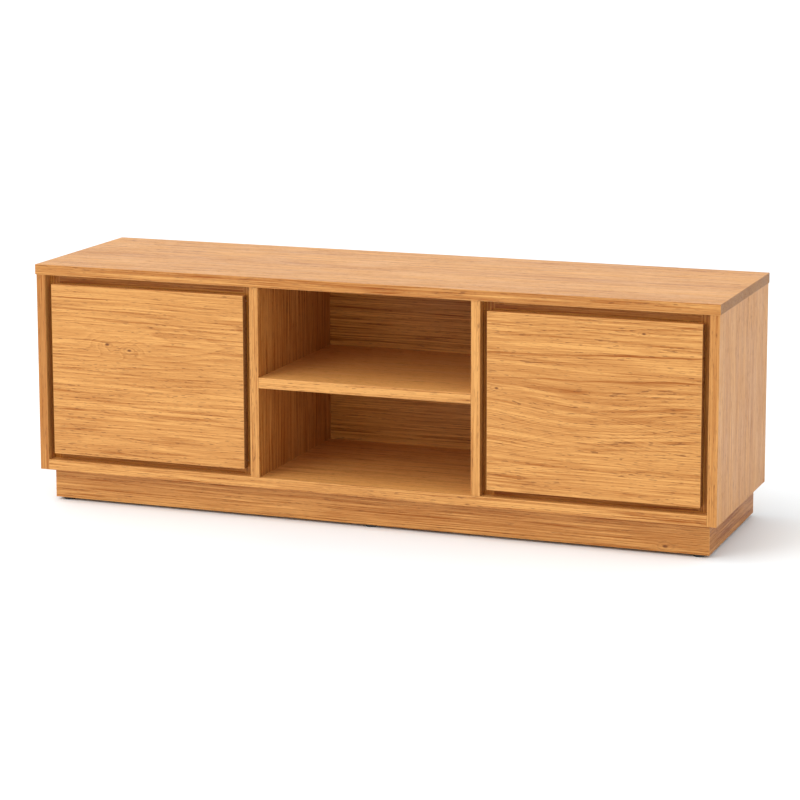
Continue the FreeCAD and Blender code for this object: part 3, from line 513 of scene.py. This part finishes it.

# Painted shade: a redder, deeper oak on the boards that stand in the shade of others, in place of their
# shade and of the reddish light that other oak throws on them.
PAINTED_SHADE_OAK = dict(light_wood=linear(0.66, 0.290, 0.055), dark_wood=linear(0.355, 0.112, 0.005))
SHELF = dict(stave=0.084, stave_spread=0.05, pith_deep=-0.06)
SIDE = dict(stave=0.046, stave_spread=0.1, figure=0.6, contrast=0.75)
# Painted shade and light: the dividers are painted darker for the shade in the bays, and their front edges
# paler for light.
DIVIDER = dict(stave=0.084, stave_spread=0.10, tone=0.28, edge_tone=-0.36, contrast=1.25)

# How each board is cut: its axes, then what differs from a plain board.
BOARDS = {
    # Painted light and shade: the bottom and the centre shelf are painted paler, for the light that reaches
    # into the bays, and the front edges of these three boards darker, for shade.
    "top_panel": (LYING_FLAT, dict(SHELF, tone=-0.14, edge_tone=0.42, contrast=1.1)),
    "bottom_panel": (LYING_FLAT, dict(SHELF, tone=-0.45, edge_tone=0.36, contrast=1.4)),
    "centre_shelf": (LYING_FLAT, dict(SHELF, tone=-0.85, edge_tone=0.58, contrast=1.5)),
    "left_inner_shelf": (LYING_FLAT, SHELF),
    "right_inner_shelf": (LYING_FLAT, SHELF),
    # Painted shade: the front edges of the sides are painted darker, the left one much more than the right.
    "left_side": (UPRIGHT_SIDE, dict(SIDE, pith_deep=0.12, edge_tone=0.45)),
    "right_side": (UPRIGHT_SIDE, dict(SIDE, pith_deep=-0.12, edge_tone=0.14)),
    "left_divider": (UPRIGHT_SIDE, dict(DIVIDER, pith_deep=-0.12)),
    "right_divider": (UPRIGHT_SIDE, dict(DIVIDER, pith_deep=0.12)),
    # Painted shade: the back is painted darker, in the redder oak, for the shade deep in the bays.
    "back_panel": (
        HORIZONTAL_FRONT,
        dict(
            stave=0.21,
            stave_spread=0.06,
            pith_deep=0.10,
            tone=0.10,
            contrast=1.4,
            **PAINTED_SHADE_OAK,
        ),
    ),
    "left_door": (
        HORIZONTAL_FRONT,
        dict(
            pith_across=0.085,
            pith_deep=0.13,
            slope_across=0.02,
            slope_deep=0.02,
            contrast=1.05,
            tone=-0.03,
            knots=LEFT_DOOR_KNOTS,
        ),
    ),
    "right_door": (
        HORIZONTAL_FRONT,
        dict(
            pith_across=0.22,
            pith_deep=0.09,
            slope_across=0.02,
            slope_deep=0.05,
            contrast=1.1,
            tone=-0.10,
            knots=RIGHT_DOOR_KNOTS,
            streaks=RIGHT_DOOR_STREAKS,
        ),
    ),
    "plinth_front": (
        HORIZONTAL_FRONT,
        dict(
            pith_across=-0.10,
            pith_deep=0.07,
            tone=0.03,
            contrast=1.2,
            knots=((0.636, -0.022, 0.004, 0.009),),
            # Painted shade: this wide streak darkens the plinth front towards its right end, where the
            # light falls off.
            streaks=((0.0, 0.0, 0.06, 0.26, 1.0),),
        ),
    ),
    "plinth_rear": (HORIZONTAL_FRONT, dict(pith_across=-0.10, pith_deep=-0.07, tone=0.06)),
    "plinth_left": (PLINTH_SIDE, dict(pith_across=0.10, pith_deep=0.07, tone=0.06)),
    # Painted shade: the right plinth board, set back under the right side, is painted much darker, in the
    # redder oak.
    "plinth_right": (PLINTH_SIDE, dict(PAINTED_SHADE_OAK, pith_across=0.10, pith_deep=-0.07, tone=0.70)),
}
# Painted shade: the frames that stand back round the doors are painted darker, in the redder oak, for the
# shade in the gap.
for side in ("left", "right"):
    for stile in ("outer_stile", "inner_stile"):
        BOARDS[f"{side}_{stile}"] = (UPRIGHT_FRONT, dict(PAINTED_SHADE_OAK, pith_across=0.07, tone=0.55))
    for rail in ("top_rail", "bottom_rail"):
        BOARDS[f"{side}_{rail}"] = (HORIZONTAL_FRONT, dict(PAINTED_SHADE_OAK, pith_across=0.07, tone=0.58))

PINE = dict(
    ring=0.0040,
    pore=0.0,
    light_wood=linear(0.74, 0.52, 0.27),
    dark_wood=linear(0.56, 0.30, 0.11),
    pore_colour=linear(0.30, 0.14, 0.05),
)
PINE_PIECES = {
    "plinth_rails": "yxz",
    "plinth_blocks": "zyx",
    "carcass_dowels": "zyx",
    "frame_dowels": "xyz",
}
FIRST_OAK_SEED = 0.4
OAK_SEED_STEP = 1.7
FIRST_PINE_SEED = 71.3


def surface(node, material):
    """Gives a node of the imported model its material."""
    for slot in NODES[node].material_slots:
        slot.link = "OBJECT"
        slot.material = material


def cover_wood():
    """Oak on every board that shows, pine on the blocks, rails and dowels."""
    wood_group()
    for number, (node, (order, values)) in enumerate(BOARDS.items()):
        seed = OAK_SEED_STEP * number + FIRST_OAK_SEED
        surface(node, wood_material(f"oak_{node}", *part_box(node), order, seed, **values))
    for number, (node, order) in enumerate(PINE_PIECES.items()):
        seed = FIRST_PINE_SEED + number
        surface(node, wood_material(f"pine_{node}", *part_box(node), order, seed, **PINE))


SAME_PLACE = 1e-6  # corners nearer than this are one corner
SHARP_FITTING = math.radians(40.0)  # edges of a fitting that turn more than this are rounded


def soften(node, width):
    """Rounds a fitting's sharp edges."""
    weld = NODES[node].modifiers.new("weld", "WELD")
    weld.merge_threshold = SAME_PLACE
    bevel = NODES[node].modifiers.new("bevel", "BEVEL")
    bevel.width = width
    bevel.segments = 2
    bevel.limit_method = "ANGLE"
    bevel.angle_limit = SHARP_FITTING
    bevel.harden_normals = True


def cover_fittings():
    """Metals, plastics and rubber on the fittings, with their edges rounded."""
    nickel = metal(
        "nickel_steel",
        bright=linear(0.72, 0.70, 0.66),
        dull=linear(0.50, 0.48, 0.45),
        rough=0.22,
        brushed=(120.0, 120.0, 2400.0),
    )
    zinc = metal(
        "zinc_casting",
        bright=linear(0.55, 0.55, 0.56),
        dull=linear(0.38, 0.38, 0.40),
        rough=0.40,
        brushed=(500.0, 500.0, 500.0),
        cast=0.03,
    )
    plated = metal(
        "plated_screws",
        bright=linear(0.68, 0.67, 0.63),
        dull=linear(0.46, 0.45, 0.42),
        rough=0.28,
        brushed=(700.0, 700.0, 1500.0),
    )
    sintered = metal(
        "magnet_stone",
        bright=linear(0.20, 0.20, 0.21),
        dull=linear(0.12, 0.12, 0.13),
        rough=0.50,
        brushed=(900.0, 900.0, 900.0),
        cast=0.05,
    )
    brown = plastic(
        "brown_plastic",
        colour=linear(0.085, 0.040, 0.018),
        worn=linear(0.13, 0.07, 0.04),
        rough=0.42,
        grain=2600.0,
    )
    black = plastic(
        "black_plastic",
        colour=linear(0.012, 0.012, 0.012),
        worn=linear(0.03, 0.03, 0.03),
        rough=0.50,
        grain=2200.0,
    )
    rubber = plastic(
        "clear_rubber",
        colour=linear(0.86, 0.84, 0.78),
        worn=linear(0.78, 0.75, 0.68),
        rough=0.30,
        grain=1500.0,
        settings={"Transmission Weight": 0.65, "IOR": 1.45},
    )
    # The endings of the nodes' names, their material, and the width of their rounded edges.
    kinds = (
        (("hinge_cups", "hinge_arms", "strike_plate"), nickel, 0.0003),
        (("hinge_blocks",), zinc, 0.0004),
        (("pins",), plated, 0.0002),
        (("magnets",), sintered, 0.0003),
        (("catch",), brown, 0.0004),
        (("glides",), black, 0.0004),
        (("bumpers",), rubber, 0.0006),
    )
    for node in NODES:
        for endings, material, edge in kinds:
            if node.endswith(endings):
                surface(node, material)
                soften(node, edge)
    for node in NODES:
        if node.endswith(("screw", "screws")):
            drive_screws(node, plated)


# ---------------------------------------------------------------- screws

SCREW_SIDES = 20
THREAD_PITCH = 0.0020
RINGS_PER_PITCH = 4
THREAD_DEPTH = 0.25  # of the shank's radius
POINT_LENGTH = 2.5  # of the shank's radius
POINT_RADIUS = 0.12  # of the shank's radius
NEXT_DRIVE = 0.8  # radians from the turn of one screw's drive to the next one's
SHARP_SCREW = math.radians(35.0)  # edges of a screw that turn more than this stay sharp
ON_FACE = 1e-5  # points nearer than this to the end of a screw are on its end face
CROSS = (0.58, 0.13, 0.50)  # the drive's half length, half width and depth, of the head's radius
CROSS_TAPER = 0.45  # the bottom of the drive against its mouth
# Depth and radius of the head's rings, of its radius, from the drive face down.
COUNTERSUNK_HEAD = ((0.0, 0.97), (0.03, 0.97), (0.5, 0.5))
PAN_HEAD = ((0.0, 0.70), (0.09, 0.89), (0.22, 1.0), (0.47, 1.0), (0.47, 0.59))


def solids_of(node):
    """The corner points of each separate solid of a node."""
    mesh = bmesh.new()
    mesh.from_mesh(NODES[node].data)
    bmesh.ops.remove_doubles(mesh, verts=mesh.verts, dist=SAME_PLACE)
    seen = set()
    for start in mesh.verts:
        if start in seen:
            continue
        seen.add(start)
        island = [start]
        for corner in island:
            for edge in corner.link_edges:
                other = edge.other_vert(corner)
                if other not in seen:
                    seen.add(other)
                    island.append(other)
        yield [corner.co.copy() for corner in island]
    mesh.free()


def measure_screw(points):
    """The middle of a screw's drive face, its axis towards the point, its length and its two radii."""
    low = Vector(map(min, zip(*points)))
    high = Vector(map(max, zip(*points)))
    size = high - low
    step = max(range(3), key=lambda n: size[n])
    ends = []
    for end in (low, high):
        centre = (low + high) / 2
        centre[step] = end[step]
        face = [point for point in points if abs(point[step] - end[step]) < ON_FACE]
        ends.append((max((point - centre).length for point in face), centre))
    (shank, tip), (_, top) = sorted(ends, key=lambda end: end[0])
    sideways = [n for n in range(3) if n != step]
    head = max(math.hypot(*(point[n] - top[n] for n in sideways)) for point in points)
    return top, (tip - top).normalized(), size[step], head, shank


def shank_rings(start, length, shank, pointed):
    """A threaded shank: the depth of each ring, and its radius at every side."""
    point = POINT_LENGTH * shank
    rings = []
    for number in range(math.ceil(RINGS_PER_PITCH * (length - start) / THREAD_PITCH) + 1):
        depth = min(start + number * THREAD_PITCH / RINGS_PER_PITCH, length)
        taper = max(POINT_RADIUS, min(1.0, (length - depth) / point)) if pointed else 1.0
        cut_in = min(1.0, (depth - start) / THREAD_PITCH)
        radii = []
        for side in range(SCREW_SIDES):
            groove = abs((depth / THREAD_PITCH - side / SCREW_SIDES) % 1.0 - 0.5) * 2
            radii.append(shank * taper * (1.0 - THREAD_DEPTH * cut_in * groove))
        rings.append((depth, radii))
    return rings


def add_screw(mesh, shape, outline, turned, pointed):
    """One screw with a cross drive in its head."""
    top, axis, length, head, shank = shape
    across = Matrix.Rotation(turned, 3, axis) @ axis.orthogonal().normalized()
    aside = axis.cross(across)

    def corner(depth, x, y):
        return mesh.verts.new(top + axis * depth + across * x + aside * y)

    rings = [(depth * head, [radius * head] * SCREW_SIDES) for depth, radius in outline]
    plain_neck = shank
    rings += shank_rings(rings[-1][0] + plain_neck, length, shank, pointed)
    angles = [2 * math.pi * side / SCREW_SIDES for side in range(SCREW_SIDES)]
    loops = []
    for depth, radii in rings:
        loops.append([corner(depth, r * math.cos(a), r * math.sin(a)) for r, a in zip(radii, angles)])

    half, width, deep = (part * head for part in CROSS)
    mouth, floor = [], []
    for quarter in range(4):
        quarter_turn = Matrix.Rotation(quarter * math.pi / 2, 2)
        for place in ((half, -width), (half, width), (width, width)):
            x, y = quarter_turn @ Vector(place)
            mouth.append(corner(0.0, x, y))
            floor.append(corner(deep, x * CROSS_TAPER, y * CROSS_TAPER))

    for first, second in list(zip(loops, loops[1:])) + [(mouth, floor)]:
        for n in range(len(first)):
            mesh.faces.new((first[n - 1], first[n], second[n], second[n - 1]))
    mesh.faces.new(loops[-1])
    mesh.faces.new(floor)
    border = []
    for loop in (loops[0], mouth):
        border += [mesh.edges.get((loop[n - 1], loop[n])) for n in range(len(loop))]
    bmesh.ops.triangle_fill(mesh, edges=border, use_beauty=True)


def drive_screws(node, material):
    """Threaded screws with cross drives in place of a node's plain ones.

    The hinge arms are held by machine screws with pan heads, and all else by pointed wood screws.
    """
    pan = node == "arm_screws"
    outline = PAN_HEAD if pan else COUNTERSUNK_HEAD
    mesh = bmesh.new()
    for number, points in enumerate(solids_of(node)):
        add_screw(mesh, measure_screw(points), outline, NEXT_DRIVE * number, not pan)
    bmesh.ops.recalc_face_normals(mesh, faces=mesh.faces)
    data = bpy.data.meshes.new(f"{node}_driven")
    mesh.to_mesh(data)
    mesh.free()
    data.shade_smooth()
    data.set_sharp_from_angle(angle=SHARP_SCREW)
    data.materials.append(material)
    piece = bpy.data.objects.new(f"{node}_driven", data)
    bpy.context.scene.collection.objects.link(piece)
    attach(piece, NODES[node]["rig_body"])
    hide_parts(node)


# ---------------------------------------------------------------- studio

FLOOR_REACH = 60.0
FLOOR_SIDES = 96
SENSOR = 36.0  # mm
LENS = 124.17  # mm
LENS_SHIFT = -0.15  # of the picture's width: the cabinet stands below the lens axis
CAMERA_PLACE = Vector((2.0207, -5.3878, 1.4357))
CAMERA_TURN = math.radians(20.52)  # to the left of straight ahead
CAMERA_TILT = math.radians(9.286)  # below level
CAMERA_ROLL = math.radians(-0.125)


def place_camera():
    """A long lens to the right of the cabinet and above it."""
    data = bpy.data.cameras.new("camera")
    data.sensor_width = SENSOR
    data.lens = LENS
    data.shift_y = LENS_SHIFT
    data.clip_end = 2 * FLOOR_REACH
    camera = bpy.data.objects.new("camera", data)
    bpy.context.scene.collection.objects.link(camera)
    turn = Matrix.Rotation(CAMERA_TURN, 4, "Z")
    tilt = Matrix.Rotation(math.pi / 2 - CAMERA_TILT, 4, "X")
    roll = Matrix.Rotation(CAMERA_ROLL, 4, "Z")
    camera.matrix_world = Matrix.Translation(CAMERA_PLACE) @ turn @ tilt @ roll
    bpy.context.scene.camera = camera


def pale_floor():
    """A wide seamless floor."""
    mesh = bpy.data.meshes.new("floor")
    angles = [2 * math.pi * n / FLOOR_SIDES for n in range(FLOOR_SIDES)]
    corners = [(FLOOR_REACH * math.cos(a), FLOOR_REACH * math.sin(a), 0.0) for a in angles]
    mesh.from_pydata(corners, [], [range(FLOOR_SIDES)])
    floor = bpy.data.objects.new("floor", mesh)
    bpy.context.scene.collection.objects.link(floor)
    material, g, shader = blank_material("pale_floor", {"Specular IOR Level": 0.2})
    place = g.object_place()
    cloud = g.noise(place, 1.5, 2.0)
    colour = g.mix(cloud, linear(0.900, 0.945, 0.970), linear(0.920, 0.965, 0.990))
    g.tree.links.new(colour, shader.inputs["Base Color"])
    g.tree.links.new(g.spread(cloud, 0.55, 0.65), shader.inputs["Roughness"])
    mesh.materials.append(material)


def soft_light(name, place, size, watts):
    """A square soft box that faces the middle of the cabinet and isn't seen itself."""
    data = bpy.data.lights.new(name, "AREA")
    data.size = size
    data.energy = watts
    light = bpy.data.objects.new(name, data)
    bpy.context.scene.collection.objects.link(light)
    light.location = place
    light.rotation_mode = "QUATERNION"
    light.rotation_quaternion = (Vector(place) - MIDDLE).to_track_quat("Z", "Y")
    light.visible_camera = False


def soft_sun(name, source, spread_degrees, strength):
    """An even light over the whole floor, from the direction of its source, with soft shadows."""
    data = bpy.data.lights.new(name, "SUN")
    data.angle = math.radians(spread_degrees)
    data.energy = strength
    light = bpy.data.objects.new(name, data)
    bpy.context.scene.collection.objects.link(light)
    light.rotation_mode = "QUATERNION"
    light.rotation_quaternion = Vector(source).to_track_quat("Z", "Y")


def light_studio():
    """White surroundings, a soft sun high on the left, and a soft box to the left of the camera."""
    world = bpy.data.worlds.new("white_studio")
    world.use_nodes = True
    background = next(n for n in world.node_tree.nodes if n.type == "BACKGROUND")
    background.inputs["Color"].default_value = linear(1.0, 1.0, 1.0)
    background.inputs["Strength"].default_value = 1.0
    bpy.context.scene.world = world
    soft_sun("key_light", source=(-0.9, -0.7, 2.1), spread_degrees=48.0, strength=0.95)
    soft_light("front_light", place=(-2.0, -4.2, 2.8), size=2.0, watts=54.0)
    view = bpy.context.scene.view_settings
    view.view_transform = "Standard"
    view.look = "None"
    view.exposure = 0.0
    view.gamma = 1.0


cover_wood()
cover_fittings()
pale_floor()
light_studio()
place_camera()
